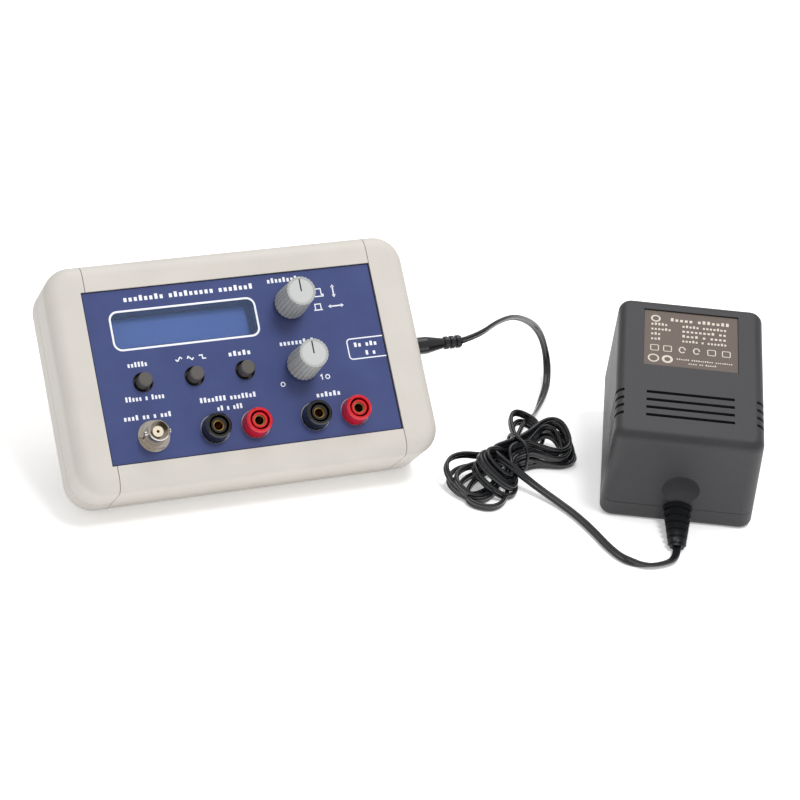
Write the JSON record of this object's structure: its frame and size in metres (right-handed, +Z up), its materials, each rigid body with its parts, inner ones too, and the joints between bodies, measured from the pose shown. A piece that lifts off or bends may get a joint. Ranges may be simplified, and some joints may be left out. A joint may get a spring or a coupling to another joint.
{
  "type": "function generator",
  "caption": "Function generator in a rounded plastic case with a display, keys, two knobs, lab sockets and a fold-out stand, with its plug-in power adaptor on a flat lead.",
  "frame": {"origin": "on the floor, under the middle of the box around the generator and its open stand", "axes": "+X along the case to its right end, +Y away from the user, +Z up; the panel leans back 45 degrees"},
  "size_m": [0.3343, 0.2009, 0.0965],
  "materials": {
    "adaptor_plastic": "spark-eroded texture",
    "aluminium": "extruded",
    "black_metal": "satin black",
    "black_plastic": "moulded, satin",
    "brass": "turned",
    "button_plastic": "moulded, satin",
    "capacitor_sleeve": "shrink sleeve",
    "case_plastic": "fine satin texture, warm light grey",
    "circuit_board": "solder mask",
    "clear_window": "clear",
    "copper": "enamelled wire",
    "cord_pvc": "glossy",
    "disc_plastic": "smooth light grey",
    "feet_rubber": "matt",
    "insulator_white": "smooth",
    "knob_plastic": "moulded light grey",
    "label_foil": "printed foil",
    "laminations": "stacked sheet",
    "lcd": "glossy blue",
    "nickel": "nickel plated",
    "panel_foil": "printed foil, satin",
    "socket_black": "glossy",
    "socket_red": "glossy",
    "stand_plastic": "fine satin texture",
    "steel": "turned",
    "wire_pvc": "smooth"
  },
  "bodies": {
    "root": {"adaptor_base": "adaptor_plastic", "adaptor_cover": "adaptor_plastic", "adaptor_label": "label_foil", "adaptor_prongs": "nickel", "adaptor_screws": "steel", "adaptor_strain_relief": "cord_pvc", "amplifier": "black_plastic", "black_sockets": "socket_black", "bnc_body": "nickel", "bnc_contact": "brass", "bnc_insulator": "insulator_white", "bnc_nut": "nickel", "bnc_washer": "nickel", "board_components": "black_plastic", "board_screws": "steel", "board_spacers": "steel", "case_screws": "steel", "connector_wires": "wire_pvc", "cord_hank": "cord_pvc", "cord_lead": "cord_pvc", "cord_tail": "cord_pvc", "cord_tie": "cord_pvc", "dc_jack": "black_plastic", "dc_plug": "cord_pvc", "dc_plug_barrel": "nickel", "display_window": "clear_window", "encoder_body": "steel", "filter_capacitors": "capacitor_sleeve", "front_panel": "panel_foil", "heat_sink": "aluminium", "key_switches": "black_plastic", "lcd_bezel": "black_metal", "lcd_board": "circuit_board", "lcd_glass": "lcd", "left_end_cap_lower": "case_plastic", "left_end_cap_upper": "case_plastic", "lower_shell": "case_plastic", "main_board": "circuit_board", "potentiometer_body": "steel", "red_sockets": "socket_red", "right_end_cap_lower": "case_plastic", "right_end_cap_upper": "case_plastic", "rubber_feet": "feet_rubber", "socket_contacts": "brass", "socket_nuts": "nickel", "stand_pins": "steel", "transformer_core": "laminations", "transformer_winding": "copper", "upper_shell": "case_plastic"},
    "encoder_push": {"encoder_plunger": "black_plastic"},
    "frequency_dial": {"encoder_shaft": "steel", "frequency_knob": "knob_plastic", "frequency_knob_disc": "disc_plastic"},
    "amplitude_dial": {"potentiometer_shaft": "steel", "amplitude_knob": "knob_plastic", "amplitude_knob_disc": "disc_plastic"},
    "key_1": {"button_1": "button_plastic"},
    "key_2": {"button_2": "button_plastic"},
    "key_3": {"button_3": "button_plastic"},
    "stand": {"tilt_stand": "stand_plastic"}
  },
  "joints": [
    {"name": "frequency_push", "type": "slide", "parent": "root", "child": "encoder_push", "axis": [0, 0.7071, -0.7071], "range_m": [0, 0.001], "stiffness_N_per_m": 2000, "springref_m": -0.001},
    {"name": "frequency_turn", "type": "hinge", "parent": "encoder_push", "child": "frequency_dial", "pos_m": [0.0256, -0.005, 0.07837], "axis": [0, -0.7071, 0.7071], "continuous": true},
    {"name": "amplitude_turn", "type": "hinge", "parent": "root", "child": "amplitude_dial", "pos_m": [0.0256, -0.02565, 0.05772], "axis": [0, -0.7071, 0.7071], "range_deg": [-150, 150]},
    {"name": "key_1_press", "type": "slide", "parent": "root", "child": "key_1", "axis": [0, 0.7071, -0.7071], "range_m": [0, 0.001], "stiffness_N_per_m": 800, "springref_m": -0.001},
    {"name": "key_2_press", "type": "slide", "parent": "root", "child": "key_2", "axis": [0, 0.7071, -0.7071], "range_m": [0, 0.001], "stiffness_N_per_m": 800, "springref_m": -0.001},
    {"name": "key_3_press", "type": "slide", "parent": "root", "child": "key_3", "axis": [0, 0.7071, -0.7071], "range_m": [0, 0.001], "stiffness_N_per_m": 800, "springref_m": -0.001},
    {"name": "stand_fold", "type": "hinge", "parent": "root", "child": "stand", "pos_m": [0, 0.02328, 0.05348], "axis": [-1, 0, 0], "range_deg": [0, 75]}
  ]
}
